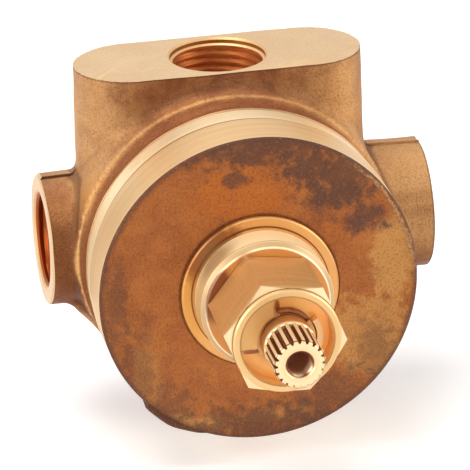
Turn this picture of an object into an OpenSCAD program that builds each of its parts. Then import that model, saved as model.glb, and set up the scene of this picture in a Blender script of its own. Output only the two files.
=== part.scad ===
// Concealed four-way valve: a cast brass body with one inlet and three outlets,
// and a screwed-in headpart whose splined spindle turns a ported rotor.
// Origin at the first full thread of the bottom inlet, +Z up along the inlet, spindle towards -Y.

/* [Casting] */
// Distance from the plane of the ports forward to the face of the front disc
disc_reach = 40; // [38:0.5:46]
// Radius of the front disc
disc_r = 34.7; // [34.4:0.1:35.2]
// Length of the turned land behind the face of the front disc
rim_land = 12; // [9:0.5:14]
// Length of the narrower turned land behind it
seal_land = 7; // [5:0.5:8]
// Radius of the raw cast drum
drum_r = 35.4; // [35.3:0.1:36.5]
// Distance from the plane of the ports to the front shoulder of the drum
drum_front = 15.6; // [15:0.1:17]
// Distance from the plane of the ports to the flat back
back_reach = 17; // [16.5:0.5:20]
// Half length of the long top boss
boss_half_l = 31.8; // [28:0.2:33]
// Half depth of the long top boss
boss_half_d = 12.3; // [12:0.1:13.5]
// Height of the machined top face above the spindle axis
top_reach = 39.4; // [39:0.2:43]

/* [Ports] */
// Reach of the bottom inlet from the spindle axis
inlet_reach = 40.5; // [40:0.5:44]
// Reach of the left outlet from the spindle axis
left_reach = 40.5; // [40:0.5:46]
// Reach of the right outlet from the spindle axis
right_reach = 45; // [42:0.5:50]
// Outer radius of each round port
port_r = 14.4; // [13.8:0.1:15]
// Radius of the thread's root circle, half-inch pipe thread
thread_r = 10.48; // [10.3:0.02:10.6]
// Depth of each port's thread
thread_depth = 14; // [11:0.5:14]
// Size of the bevel at each port's mouth
mouth_bevel = 0.5; // [0.3:0.1:1]
// Radius of the waterway behind each outlet's thread
waterway_r = 5.2; // [4.5:0.1:5.4]

/* [Headpart] */
// Radius of the housing's flange on the disc
flange_r = 17.1; // [16.4:0.1:18]
// Radius of the housing's turned shoulder
shoulder_r = 14.5; // [14.3:0.1:14.7]
// Distance across the flats of the housing's hexagon
hex_af = 23; // [22.6:0.1:23.4]
// Turn of the hexagon from flats level, clockwise as seen from the front
hex_turn = 8; // [0:1:30]
// Forward end of the turned shoulder, in front of the disc
shoulder_end = 9.4; // [8:0.2:11]
// Forward end of the hexagon, in front of the disc
hex_end = 27.1; // [26:0.2:28]
// Forward end of the collar, in front of the disc
collar_end = 28.2; // [27.6:0.1:29]
// First angle of the raised stop in the collar's recess
stop_from = 107.5; // [90:0.5:120]
// Last angle of the raised stop in the collar's recess
stop_to = 189; // [170:1:200]

/* [Spindle] */
// Tip of the spindle, in front of the disc
tip_reach = 40.4; // [38:0.2:44]
// Radius of the spindle in the housing's bore
spindle_r = 5.55; // [5.3:0.05:5.6]
// Number of teeth on the spline
spline_teeth = 20; // [16:1:24]
// Outer radius of the spline
spline_r = 5.5; // [5.3:0.05:5.5]
// Depth of the spline's grooves
spline_depth = 0.85; // [0.5:0.05:1]
// Length of the spline
spline_l = 9.2; // [8:0.1:10]
// Radius of the screw hole in the spindle's tip
screw_r = 2.5; // [2:0.1:2.7]
// Half width of the square that drives the rotor
drive_half = 4.5; // [4:0.1:4.8]

/* [Rotor] */
// Radius of the rotor
rotor_r = 13.52; // [13.4:0.01:13.53]
// Radius of the rotor's hollow
rotor_hollow_r = 9.5; // [8.8:0.1:9.8]
// Radius of the rotor's window
window_r = 4.8; // [4:0.1:5.2]
// Outer radius of the rubber seats
seat_r = 7.3; // [7:0.05:7.35]
// Number of turns of each seat spring
spring_turns = 3.5; // [2.5:0.5:4]

/* [Hidden] */
$fn = 96;
cut = 0.5;
axis_h = inlet_reach - mouth_bevel;

// Directions of the ports, counter-clockwise from the right as seen from the front
right_way = 0;
top_way = 90;
left_way = 180;
inlet_way = 270;

// Casting: walls of the water chamber, the barrel that holds the rotor, and the blends
back_edge_r = back_reach;
shoulder_edge_r = 2;
neck_drop = 1.1;
neck_round_r = 3.2;
port_edge = 0.5;
land_step = 0.6;
disc_edge = 0.6;
web_way = 221;
web_proud = 0.3;
web_back = 4;
web_front = 8;
web_top_x = 37;
wall_back = 4.5;
wall_drum = 6.9;
wall_front = 6;
chamber_r = drum_r - wall_drum;
chamber_front = disc_reach - wall_front;
chamber_bevel = 3;
dome_chamber_r = 20;
dome_chamber_back = -5;
barrel_r = 18.5;
barrel_back = -7.5;
bore_r = rotor_r + 0.08;
tube_r = 11.5;
tube_l = 32;
pocket_r = 7.4;
pocket_end = 24;
pocket_start = 8;
boss_fillet = 2.6;
boss_fillet_root = 4;
stub_way = 233;
stub_from = 224.5;
stub_r = 20;
stub_offset = disc_r + 1.4 - stub_r;
stub_l = 7;
stub_back_from_face = 0.3;
long = 40;
spot_r = 17.6;
spot_face = disc_reach - 0.3;

// Headpart: places along the spindle axis, measured forward of the plane of the ports
thread_clear = 0.05;
nose_r = 14;
nose_back = 20.4;
thread_step = 20;
flange_back = disc_reach + 0.3;
flange_front = flange_back + 1;
lip_front = flange_front + 0.6;
lip_r = shoulder_r + 0.4;
shoulder_front = disc_reach + shoulder_end;
hex_front = disc_reach + hex_end;
collar_front = disc_reach + collar_end;
collar_r = hex_af / 2;
hex_r = collar_r / cos(30);
hex_chamfer_r = 11.8;
shoulder_bevel = 1.3;
small_bevel = 0.3;
nose_bevel = 0.8;
nose_groove_depth = 1.7;
ring_r = 10.2;
recess_r = 9.8;
recess_floor = 64.6;
stop_inner_r = 6.4;
rib_inner_r = 6.6;
rib_outer_r = 7.8;
rib_front = 66.9;
rib_from = -25;
rib_to = 31;
guide_r = spindle_r + 0.05;
guide_back = 46;
cavity_r = 9.7;
lug_half = 58;
lug_r = 8.8;
lug_back = 41.4;
lug_front = 44.6;

// Spindle and rotor: places along the same axis
tip = disc_reach + tip_reach;
spline_back = tip - spline_l;
clip_back = 66;
clip_t = 1;
clip_groove_r = 4.9;
clip_gap_from = 38;
clip_gap_to = 102;
screw_depth = 12;
screw_mouth = 0.7;
tip_bevel = 0.5;
thrust_r = 8.5;
thrust_back = 41.5;
thrust_front = 44.7;
tab_half = 30;
tab_r = 9.45;
drive_back = 29.5;
seal_section_r = 0.62;
seal_ring_r = 4.95;
seal_groove_r = 4.3;
seal_places = [52, 58];
rotor_back = -7.3;
rotor_front = 19.5;
rotor_neck_r = 9.3;
rotor_neck_front = 38.5;
rotor_hollow_front = 12;
socket_half = drive_half + 0.05;
socket_back = 28.5;
ring_section_r = 0.8;
ring_groove_half = 1.1;
rotor_ring_at = 16.2;
rotor_ring_r = bore_r - 0.05 - ring_section_r;
nose_ring_at = 23;
nose_ring_r = nose_r - ring_section_r;
seat_hole_r = 4.5;
seat_back = 19;
seat_spigot_r = 5.3;
seat_spigot_end = 20.4;
spring_r = 6.3;
spring_wire_r = 0.45;
spring_sides = 8;
spring_steps = 20;

// Local z runs forward along the spindle axis from the plane of the ports
module on_spindle() {
    translate([0, 0, axis_h]) rotate([90, 0, 0]) children();
}

// Local z runs outward from the spindle axis in one of the port directions
module toward(way) {
    translate([0, 0, axis_h]) rotate([0, 90 - way, 0]) children();
}

// A turned piece from its outline of radius and forward distance
module turned(outline) {
    on_spindle() rotate_extrude() polygon(outline);
}

// A plain ring round the spindle axis
module ring(inner, outer, from, to) {
    turned([[inner, from], [outer, from], [outer, to], [inner, to]]);
}

// A ring of round section round the spindle axis
module round_ring(r, section, at) {
    on_spindle() translate([0, 0, at]) rotate_extrude() translate([r, 0]) circle(section, $fn = 32);
}

// A wedge of a ring round the spindle axis, between two angles less than 180 apart
module ring_wedge(inner, outer, from, to, a, b) {
    reach = outer / cos((b - a) / 4);
    middle = (a + b) / 2;
    intersection() {
        ring(inner, outer, from, to);
        on_spindle() translate([0, 0, from - cut]) linear_extrude(height = to - from + 2 * cut)
            polygon([[0, 0], reach * [cos(a), sin(a)], 1.2 * reach * [cos(middle), sin(middle)],
                     reach * [cos(b), sin(b)]]);
    }
}

// Body

// Outline of the casting round the spindle axis: dome, drum, neck, two turned lands, disc
module casting_outline() {
    land_back = disc_reach - rim_land - seal_land;
    land_r = disc_r - land_step;
    flat_back_r = drum_r - back_edge_r;
    neck_middle = (drum_front + land_back) / 2;
    translate([0, -back_reach]) square([flat_back_r, back_reach]);
    intersection() {
        translate([flat_back_r, 0]) circle(back_edge_r);
        translate([0, -back_reach - cut]) square([drum_r + cut, back_reach + 2 * cut]);
    }
    square([drum_r - shoulder_edge_r, drum_front]);
    square([drum_r, drum_front - shoulder_edge_r]);
    intersection() {
        translate([drum_r - shoulder_edge_r, drum_front - shoulder_edge_r]) circle(shoulder_edge_r);
        square([drum_r + cut, drum_front + cut]);
    }
    difference() {
        polygon([[0, drum_front - cut], [land_r, drum_front - cut], [land_r, disc_reach - rim_land],
            [disc_r, disc_reach - rim_land + 0.3], [disc_r, disc_reach - disc_edge],
            [disc_r - disc_edge, disc_reach], [0, disc_reach]]);
        translate([land_r - neck_drop + neck_round_r, neck_middle]) circle(neck_round_r);
    }
}

// The long boss on top, with its blend into the drum's front shoulder
module top_boss() {
    end_x = boss_half_l - boss_half_d;
    translate([0, 0, axis_h]) linear_extrude(height = top_reach) {
        square([2 * end_x, 2 * boss_half_d], center = true);
        translate([end_x, 0]) circle(boss_half_d);
        translate([-end_x, 0]) circle(boss_half_d);
    }
    intersection() {
        on_spindle() rotate_extrude() difference() {
            translate([drum_r - boss_fillet_root, boss_half_d - boss_fillet_root])
                square(boss_fillet_root + boss_fillet);
            translate([drum_r + boss_fillet, boss_half_d + boss_fillet]) circle(boss_fillet);
        }
        translate([-end_x, -boss_half_d - 2 * boss_fillet, axis_h])
            cube([2 * end_x, 2 * boss_half_d, top_reach - cut]);
    }
}

// One round port
module port(way, reach) {
    toward(way) cylinder(r = port_r, h = reach - port_edge);
    toward(way) translate([0, 0, reach - port_edge])
        cylinder(r1 = port_r, r2 = port_r - port_edge, h = port_edge);
}

// Flat webs under the left and right ports, each tangent to the drum
module port_webs() {
    web_r = drum_r + web_proud;
    touch = web_r * [cos(web_way), sin(web_way)];
    for (side = [0, 1])
        mirror([side, 0, 0]) on_spindle() translate([0, 0, -web_back])
            linear_extrude(height = web_back + web_front)
                polygon([[0, 0], [-web_top_x, 0],
                    [-web_top_x, (web_r + web_top_x * cos(web_way)) / sin(web_way)], touch]);
}

// Remains of the casting's gate on the edge of the disc
module gate_stub() {
    on_spindle() translate([0, 0, disc_reach - stub_l]) intersection() {
        rotate(stub_way) translate([stub_offset, 0])
            cylinder(r = stub_r, h = stub_l - stub_back_from_face);
        rotate(stub_from) cube([long, long, stub_l]);
    }
}

// Water chamber between the drum and the barrel, crossed by the outlets' tubes
module water_chamber() {
    difference() {
        turned([[0, wall_back - back_reach], [dome_chamber_r, wall_back - back_reach],
            [chamber_r, dome_chamber_back], [chamber_r, chamber_front - chamber_bevel],
            [chamber_r - chamber_bevel, chamber_front], [0, chamber_front]]);
        on_spindle() translate([0, 0, barrel_back]) cylinder(r = barrel_r, h = 2 * long);
        for (way = [right_way, top_way, left_way]) {
            toward(way) cylinder(r = tube_r, h = tube_l);
            toward(way) translate([0, 0, pocket_end]) cylinder(r = port_r, h = tube_l - pocket_end);
        }
    }
}

// Thread, chamfer and waterway of one port, and the pocket of its seat
module port_bore(way, reach, inner, inner_r) {
    toward(way) {
        translate([0, 0, reach - thread_depth]) cylinder(r = thread_r, h = thread_depth + cut);
        translate([0, 0, reach - mouth_bevel])
            cylinder(r1 = thread_r, r2 = thread_r + mouth_bevel + cut, h = mouth_bevel + cut);
        translate([0, 0, inner]) cylinder(r = inner_r, h = reach - thread_depth - inner + cut);
    }
}

module body() {
    color("peru") difference() {
        union() {
            on_spindle() rotate_extrude() casting_outline();
            top_boss();
            port(left_way, left_reach);
            port(right_way, right_reach);
            port(inlet_way, inlet_reach);
            port_webs();
            gate_stub();
        }
        water_chamber();
        on_spindle() translate([0, 0, barrel_back - cut]) cylinder(r = bore_r, h = long);
        on_spindle() translate([0, 0, thread_step]) cylinder(r = nose_r + thread_clear, h = long);
        on_spindle() translate([0, 0, spot_face]) cylinder(r = spot_r, h = long);
        port_bore(left_way, left_reach, pocket_end - cut, waterway_r);
        port_bore(top_way, top_reach, pocket_end - cut, waterway_r);
        port_bore(right_way, right_reach, pocket_end - cut, waterway_r);
        port_bore(inlet_way, inlet_reach, barrel_r + 1, thread_r - 1.5);
        for (way = [right_way, top_way, left_way])
            toward(way) translate([0, 0, pocket_start])
                cylinder(r = pocket_r, h = pocket_end - pocket_start);
    }
}

// Headpart

// Outside of the housing: threaded nose, flange, lip, turned shoulder, hexagon and collar
module housing_outside() {
    groove = ring_groove_half;
    groove_r = nose_r - nose_groove_depth;
    rim_r = hex_r + small_bevel;
    turned([[0, nose_back], [nose_r - nose_bevel, nose_back], [nose_r, nose_back + nose_bevel],
        [nose_r, nose_ring_at - groove], [groove_r, nose_ring_at - groove],
        [groove_r, nose_ring_at + groove], [nose_r, nose_ring_at + groove],
        [nose_r, flange_back], [flange_r, flange_back], [flange_r, flange_front - small_bevel],
        [flange_r - small_bevel, flange_front], [lip_r, flange_front], [lip_r, lip_front],
        [shoulder_r, lip_front], [shoulder_r, shoulder_front - shoulder_bevel],
        [shoulder_r - shoulder_bevel, shoulder_front], [0, shoulder_front]]);
    intersection() {
        on_spindle() rotate(-hex_turn) translate([0, 0, lip_front])
            cylinder(r = hex_r, h = hex_front - lip_front, $fn = 6);
        turned([[0, lip_front], [rim_r, lip_front],
            [rim_r, hex_front - (rim_r - hex_chamfer_r) * tan(30)], [hex_chamfer_r, hex_front],
            [0, hex_front]]);
    }
    turned([[0, hex_front - cut], [collar_r, hex_front - cut],
        [collar_r, collar_front - small_bevel], [collar_r - small_bevel, collar_front],
        [0, collar_front]]);
}

module headpart_housing() {
    color("tan") {
        difference() {
            housing_outside();
            on_spindle() translate([0, 0, nose_back - cut])
                cylinder(r = cavity_r, h = guide_back - nose_back + cut);
            on_spindle() translate([0, 0, guide_back - cut]) cylinder(r = guide_r, h = long);
            difference() {
                union() {
                    ring(0, recess_r, recess_floor, collar_front + cut);
                    ring(0, ring_r, collar_front - small_bevel, collar_front + cut);
                }
                ring_wedge(stop_inner_r, collar_r, recess_floor - cut,
                    collar_front - small_bevel, stop_from, stop_to);
                ring_wedge(rib_inner_r, rib_outer_r, recess_floor - cut, rib_front,
                    rib_from, rib_to);
            }
        }
        ring_wedge(lug_r, cavity_r + 0.5, lug_back, lug_front, top_way - lug_half, top_way + lug_half);
    }
}

module headpart_gasket() {
    color("saddlebrown") ring(nose_r + 0.2, flange_r - 0.3, spot_face, flange_back);
}

module housing_seal() {
    color("dimgray") round_ring(nose_ring_r, ring_section_r, nose_ring_at);
}

// Spindle

// Cross-section of the spline: evenly spaced teeth with flat crests
module spline_section() {
    pitch = 360 / spline_teeth;
    root = spline_r - spline_depth;
    polygon([for (i = [0:spline_teeth - 1], corner = [[-0.3, spline_r], [-0.12, root],
                 [0.12, root], [0.3, spline_r]])
        corner[1] * [cos((i + corner[0]) * pitch), sin((i + corner[0]) * pitch)]]);
}

module spindle() {
    color("khaki") difference() {
        union() {
            turned(concat(
                [[0, thrust_back - cut], [thrust_r, thrust_back - cut], [thrust_r, thrust_front],
                 [spindle_r, thrust_front]],
                [for (at = seal_places, corner = [[spindle_r, -ring_groove_half + 0.2],
                     [seal_groove_r, -ring_groove_half + 0.2], [seal_groove_r, ring_groove_half - 0.2],
                     [spindle_r, ring_groove_half - 0.2]]) [corner[0], at + corner[1]]],
                [[spindle_r, clip_back], [clip_groove_r, clip_back],
                 [clip_groove_r, clip_back + clip_t + 0.1], [spindle_r, clip_back + clip_t + 0.1],
                 [spindle_r, spline_back - small_bevel], [spindle_r - small_bevel, spline_back],
                 [0, spline_back]]));
            intersection() {
                on_spindle() translate([0, 0, spline_back - cut])
                    linear_extrude(height = spline_l + cut) spline_section();
                turned([[0, spline_back - 1], [spline_r + 0.2, spline_back - 1],
                    [spline_r + 0.2, tip - tip_bevel - 0.2], [spline_r - tip_bevel, tip],
                    [0, tip]]);
            }
            ring_wedge(thrust_r - 1, tab_r, thrust_back - cut, thrust_front - cut,
                inlet_way - tab_half, inlet_way + tab_half);
            on_spindle() translate([-drive_half, -drive_half, drive_back])
                cube([2 * drive_half, 2 * drive_half, thrust_back - drive_back]);
        }
        on_spindle() translate([0, 0, tip - screw_depth])
            cylinder(r = screw_r, h = screw_depth + cut);
        on_spindle() translate([0, 0, tip - screw_mouth])
            cylinder(r1 = screw_r, r2 = screw_r + screw_mouth + cut, h = screw_mouth + cut);
    }
}

module spindle_circlip() {
    color("gray") difference() {
        ring(clip_groove_r + 0.05, stop_inner_r - 0.15, clip_back + 0.05, clip_back + clip_t);
        on_spindle() translate([0, 0, clip_back - cut]) linear_extrude(height = clip_t + 2 * cut)
            polygon([[0, 0], 10 * [cos(clip_gap_from), sin(clip_gap_from)], [0, 12],
                     10 * [cos(clip_gap_to), sin(clip_gap_to)]]);
    }
}

module spindle_front_washer() {
    color("linen") ring(guide_r + 0.1, stop_inner_r - 0.1, recess_floor, clip_back - 0.1);
}

module spindle_thrust_washer() {
    color("white") ring(guide_r + 0.05, cavity_r - 0.7, thrust_front + 0.1, guide_back);
}

module spindle_front_seal() {
    color("dimgray") round_ring(seal_ring_r, seal_section_r, seal_places[1]);
}

module spindle_rear_seal() {
    color("dimgray") round_ring(seal_ring_r, seal_section_r, seal_places[0]);
}

// Rotor

module rotor() {
    groove_r = rotor_ring_r - ring_section_r - 0.05;
    color("goldenrod") difference() {
        turned([[0, rotor_back], [rotor_r - 0.5, rotor_back], [rotor_r, rotor_back + 0.5],
            [rotor_r, rotor_ring_at - ring_groove_half], [groove_r, rotor_ring_at - ring_groove_half],
            [groove_r, rotor_ring_at + ring_groove_half], [rotor_r, rotor_ring_at + ring_groove_half],
            [rotor_r, rotor_front], [rotor_neck_r, rotor_front], [rotor_neck_r, rotor_neck_front],
            [0, rotor_neck_front]]);
        on_spindle() translate([0, 0, rotor_back - cut])
            cylinder(r = rotor_hollow_r, h = rotor_hollow_front - rotor_back + cut);
        on_spindle() translate([-socket_half, -socket_half, socket_back])
            cube([2 * socket_half, 2 * socket_half, 20]);
        toward(top_way) cylinder(r = window_r, h = 20);
    }
}

module rotor_seal() {
    color("dimgray") round_ring(rotor_ring_r, ring_section_r, rotor_ring_at);
}

module rotor_washer() {
    color("white") ring(rotor_neck_r + 0.3, nose_r - 0.6, rotor_front + 0.1, nose_back);
}

// Seats and springs

// A rubber seat ring, hollowed at its inner end to the rotor's curve
module seat(way) {
    color("dimgray") difference() {
        toward(way) rotate_extrude() polygon([[seat_hole_r, 10], [seat_r, 10], [seat_r, seat_back],
            [seat_spigot_r, seat_back], [seat_spigot_r, seat_spigot_end],
            [seat_hole_r, seat_spigot_end]]);
        on_spindle() translate([0, 0, -12]) cylinder(r = bore_r + 0.02, h = 24);
    }
}

module seat_left() { seat(left_way); }
module seat_top() { seat(top_way); }
module seat_right() { seat(right_way); }

// Corner i of ring k of the wire: the wire's circle turned round the spring's axis as it climbs
function wire_point(k, i, rings, low, high) =
    let (turn = 360 * spring_turns * k / rings, a = 360 * i / spring_sides,
         r = spring_r + spring_wire_r * cos(a))
    [r * cos(turn), r * sin(turn), low + (high - low) * k / rings + spring_wire_r * sin(a)];

// A coil spring between a seat and the end of its pocket
module spring(way) {
    rings = spring_turns * spring_steps;
    low = seat_back + spring_wire_r;
    high = pocket_end - spring_wire_r;
    n = spring_sides;
    points = [for (k = [0:rings], i = [0:n - 1]) wire_point(k, i, rings, low, high)];
    sides = [for (k = [0:rings - 1], i = [0:n - 1])
        [k * n + i, k * n + (i + 1) % n, (k + 1) * n + (i + 1) % n, (k + 1) * n + i]];
    ends = [[for (i = [n - 1:-1:0]) i], [for (i = [0:n - 1]) rings * n + i]];
    color("silver") toward(way) polyhedron(points, concat(sides, ends), convexity = 8);
}

module spring_left() { spring(left_way); }
module spring_top() { spring(top_way); }
module spring_right() { spring(right_way); }

body();
headpart_housing();
headpart_gasket();
housing_seal();
spindle();
spindle_circlip();
spindle_front_washer();
spindle_thrust_washer();
spindle_front_seal();
spindle_rear_seal();
rotor();
rotor_seal();
rotor_washer();
seat_left();
seat_top();
seat_right();
spring_left();
spring_top();
spring_right();
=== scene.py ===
"""Looks of a concealed four-way valve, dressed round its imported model."""

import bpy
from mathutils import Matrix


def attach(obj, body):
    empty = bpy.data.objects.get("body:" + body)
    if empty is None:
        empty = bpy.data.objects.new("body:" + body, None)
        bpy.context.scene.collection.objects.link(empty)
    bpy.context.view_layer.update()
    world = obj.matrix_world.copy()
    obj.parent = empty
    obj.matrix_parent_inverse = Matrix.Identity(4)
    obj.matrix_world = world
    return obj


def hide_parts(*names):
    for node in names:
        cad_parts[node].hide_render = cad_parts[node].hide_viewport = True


bl_info = {
    "name": "Concealed four-way valve",
    "version": (1, 0, 0),
    "blender": (4, 5, 0),
    "location": "3D View > Sidebar > Valve",
    "description": "Makes the casting and the finishes of a concealed four-way valve",
    "category": "Object",
}

import math

import bmesh
import bpy
import numpy as np
from bpy.props import FloatProperty, FloatVectorProperty, PointerProperty
from mathutils import Matrix, Vector

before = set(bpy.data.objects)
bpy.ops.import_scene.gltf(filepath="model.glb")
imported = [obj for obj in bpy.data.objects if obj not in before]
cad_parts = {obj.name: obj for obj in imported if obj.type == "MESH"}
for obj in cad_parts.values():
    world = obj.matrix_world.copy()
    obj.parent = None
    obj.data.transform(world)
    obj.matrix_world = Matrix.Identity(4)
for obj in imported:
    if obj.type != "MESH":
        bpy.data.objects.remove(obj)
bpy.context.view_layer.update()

MM = 0.001
AXIS_H = 40.0  # height of the spindle axis above the origin, mm
FRONT = 40.0  # distance of the disc's face in front of the ports' plane, mm
INLET_REACH = 40.5
LEFT_REACH = 40.5
RIGHT_REACH = 45.0
TOP_REACH = 39.4
PORT_R = 14.4
THREAD_DEPTH = 14
BEVELLED_MOUTH = ((9.9, -0.85), (10.2, -0.55), (10.45, -0.5), (10.95, 0.0), (10.95, 0.4))
STEPPED_MOUTH = ((9.85, -1.52), (10.2, -1.2), (10.45, -1.15), (10.5, -0.45), (10.95, 0.0),
                 (10.95, 0.4))  # radius, height above the port's face
RIGHT, TOP, LEFT, INLET = 0, 90, 180, 270
CAST, MACHINED, TURNED, FACE, BORED = range(5)  # material slots of the casting
CASTING_MATERIALS = ("cast_skin", "milled_face", "turned_land", "disc_face", "port_thread")
WEB_WAY = math.radians(221)  # direction in which the left port's web touches the drum
STUB_WAY = math.radians(233)  # direction of the gate's remains on the disc's edge


# Properties

class ValveCasting(bpy.types.PropertyGroup):
    boss_fillet: FloatProperty(
        name="Boss fillet", description="Fillet between the top boss and the drum, mm",
        default=2.6, min=0.5, max=6)
    port_fillet: FloatProperty(
        name="Port fillet", description="Fillet between the ports and the drum, mm",
        default=1.4, min=0.5, max=6)
    waviness: FloatProperty(
        name="Waviness", description="Height of the raw casting's slow waves, mm",
        default=0.12, min=0, max=0.5)
    voxel: FloatProperty(
        name="Voxel", description="Edge length of the casting's mesh, mm",
        default=0.8, min=0.5, max=3)


class ValveColours(bpy.types.PropertyGroup):
    cast: FloatVectorProperty(
        name="Cast skin", description="Middle colour of the raw casting", subtype="COLOR",
        size=3, default=(0.40, 0.165, 0.058), min=0, max=1)
    # Painted highlight: a golden colour laid on the casting where light catches its ends
    cast_highlight: FloatVectorProperty(
        name="Cast skin, highlighted", description="Colour of the casting where it is highlighted",
        subtype="COLOR", size=3, default=(0.58, 0.31, 0.125), min=0, max=1)
    cast_dark: FloatVectorProperty(
        name="Cast skin, dark", description="Colour of the casting's tarnish", subtype="COLOR",
        size=3, default=(0.25, 0.085, 0.032), min=0, max=1)
    machined: FloatVectorProperty(
        name="Machined brass", description="Colour of the turned and milled faces",
        subtype="COLOR", size=3, default=(0.72, 0.46, 0.215), min=0, max=1)
    machined_light: FloatVectorProperty(
        name="Machined brass, bright", description="Colour of the brightest machined faces",
        subtype="COLOR", size=3, default=(0.84, 0.61, 0.34), min=0, max=1)
    machined_dark: FloatVectorProperty(
        name="Machined brass, dull", description="Colour of machined faces where they are dull",
        subtype="COLOR", size=3, default=(0.58, 0.33, 0.14), min=0, max=1)
    thread: FloatVectorProperty(
        name="Threads", description="Colour of the ports' threads", subtype="COLOR",
        size=3, default=(0.46, 0.135, 0.030), min=0, max=1)
    thread_dark: FloatVectorProperty(
        name="Threads, dark", description="Colour of the ports' threads where they are dull",
        subtype="COLOR", size=3, default=(0.36, 0.095, 0.020), min=0, max=1)
    # Painted light: a pale colour laid on the top port thread's downward-facing flanks to lighten
    # their shade
    thread_underside_light: FloatVectorProperty(
        name="Thread undersides", description="Colour of the top port's thread on its undersides",
        subtype="COLOR", size=3, default=(1.0, 0.42, 0.13), min=0, max=1)
    face: FloatVectorProperty(
        name="Disc face", description="Middle colour of the disc's face", subtype="COLOR",
        size=3, default=(0.37, 0.117, 0.032), min=0, max=1)
    face_ochre: FloatVectorProperty(
        name="Disc face, ochre", description="Colour of the disc's lighter patches",
        subtype="COLOR", size=3, default=(0.58, 0.28, 0.080), min=0, max=1)
    face_stain: FloatVectorProperty(
        name="Disc face, stain", description="Colour of the disc's dark stains",
        subtype="COLOR", size=3, default=(0.145, 0.061, 0.036), min=0, max=1)


class ValveStage(bpy.types.PropertyGroup):
    distance: FloatProperty(
        name="Distance", description="From the camera to the disc's face", default=0.94,
        subtype="DISTANCE", unit="LENGTH")
    azimuth: FloatProperty(
        name="Azimuth", description="Turn of the camera about the upright axis",
        default=math.radians(-11.38), subtype="ANGLE", unit="ROTATION")
    elevation: FloatProperty(
        name="Elevation", description="Height of the camera above the horizon",
        default=math.radians(23.21), subtype="ANGLE", unit="ROTATION")
    roll: FloatProperty(
        name="Roll", description="Roll of the camera about its own axis",
        default=math.radians(-1.47), subtype="ANGLE", unit="ROTATION")


# Mesh helpers, all in mm until the finished casting is scaled to metres

def spindle_frame():
    """Local z runs forward along the spindle axis from the plane of the ports."""
    return Matrix.Translation((0, 0, AXIS_H)) @ Matrix.Rotation(math.radians(90), 4, "X")


def port_frame(way):
    """Local z runs outward from the spindle axis in one of the port directions."""
    return (Matrix.Translation((0, 0, AXIS_H))
            @ Matrix.Rotation(math.radians(90 - way), 4, "Y"))


def make_object(name, points, faces, matrix, slot=MACHINED):
    mesh = bpy.data.meshes.new(name)
    mesh.from_pydata([matrix @ Vector(p) for p in points], [], faces)
    bm = bmesh.new()
    bm.from_mesh(mesh)
    bmesh.ops.recalc_face_normals(bm, faces=bm.faces[:])
    bm.to_mesh(mesh)
    bm.free()
    mesh.polygons.foreach_set("material_index", [slot] * len(mesh.polygons))
    for material in CASTING_MATERIALS:
        mesh.materials.append(bpy.data.materials[material])
    obj = bpy.data.objects.new(name, mesh)
    bpy.context.scene.collection.objects.link(obj)
    return obj


def surface_of_rings(rings):
    """Points and faces of a closed surface through equal rings of points, with flat ends."""
    steps = len(rings[0])
    points = [p for ring in rings for p in ring]
    faces = []
    for k in range(len(rings) - 1):
        for i in range(steps):
            j = (i + 1) % steps
            faces.append((k * steps + i, k * steps + j, (k + 1) * steps + j, (k + 1) * steps + i))
    faces.append(tuple(range(steps - 1, -1, -1)))
    last = (len(rings) - 1) * steps
    faces.append(tuple(range(last, last + steps)))
    return points, faces


def lathe(name, outline, matrix, slot=MACHINED, steps=128):
    """A turned solid from its outline of (radius, distance along z), lowest end first."""
    rings = [[(r * math.cos(a), r * math.sin(a), z)
              for a in (2 * math.pi * i / steps for i in range(steps))] for r, z in outline]
    points, faces = surface_of_rings(rings)
    return make_object(name, points, faces, matrix, slot)


def turned_ring(name, outline, matrix, slot=MACHINED, steps=192):
    """A turned ring from its closed outline of (radius, distance along z)."""
    n = len(outline)
    points = [(r * math.cos(a), r * math.sin(a), z)
              for a in (2 * math.pi * i / steps for i in range(steps)) for r, z in outline]
    faces = []
    for i in range(steps):
        j = (i + 1) % steps
        for k in range(n):
            m = (k + 1) % n
            faces.append((i * n + k, j * n + k, j * n + m, i * n + m))
    return make_object(name, points, faces, matrix, slot)


def box_solid(name, low, high, slot=MACHINED):
    points = [(x, y, z) for x in (low[0], high[0]) for y in (low[1], high[1])
              for z in (low[2], high[2])]
    faces = [(0, 1, 3, 2), (4, 6, 7, 5), (0, 4, 5, 1), (2, 3, 7, 6), (0, 2, 6, 4), (1, 5, 7, 3)]
    return make_object(name, points, faces, Matrix.Identity(4), slot)


def combine(obj, other, operation="DIFFERENCE"):
    """Replaces the object's mesh by its boolean with the other, which is used up."""
    modifier = obj.modifiers.new("combine", "BOOLEAN")
    modifier.operation = operation
    modifier.solver = "MANIFOLD"
    modifier.object = other
    evaluated = obj.evaluated_get(bpy.context.evaluated_depsgraph_get())
    mesh = bpy.data.meshes.new_from_object(evaluated)
    obj.modifiers.clear()
    if len(mesh.polygons) == 0:
        raise RuntimeError(f"the boolean with {other.name} left nothing")
    old = obj.data
    obj.data = mesh
    bpy.data.meshes.remove(old)
    bpy.data.objects.remove(other)
    return obj


# The raw casting as a distance from its surface

def round_union(a, b, radius):
    """Union of two distances with a fillet of the given radius between them."""
    u = np.maximum(radius - a, 0)
    v = np.maximum(radius - b, 0)
    return np.maximum(radius, np.minimum(a, b)) - np.hypot(u, v)


def rounded_corner(a, b, radius):
    """Intersection of two distances with a rounded outer edge."""
    u = np.maximum(a + radius, 0)
    v = np.maximum(b + radius, 0)
    return np.hypot(u, v) + np.minimum(np.maximum(a + radius, b + radius), 0) - radius


def port_distance(x, f, h, way, reach):
    """A round port whose rear half sits a little higher, as its two moulds met."""
    a = math.radians(way)
    along = x * math.cos(a) + h * math.sin(a)
    side = h * math.cos(a) - x * math.sin(a)
    slip = 0.45 * (f < 0) * math.cos(a)
    radial = np.hypot(side - slip, f)
    draft = 0.012 * (reach - along)
    return np.maximum(np.maximum(radial - PORT_R - draft, along - reach - 0.7), -along)


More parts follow.
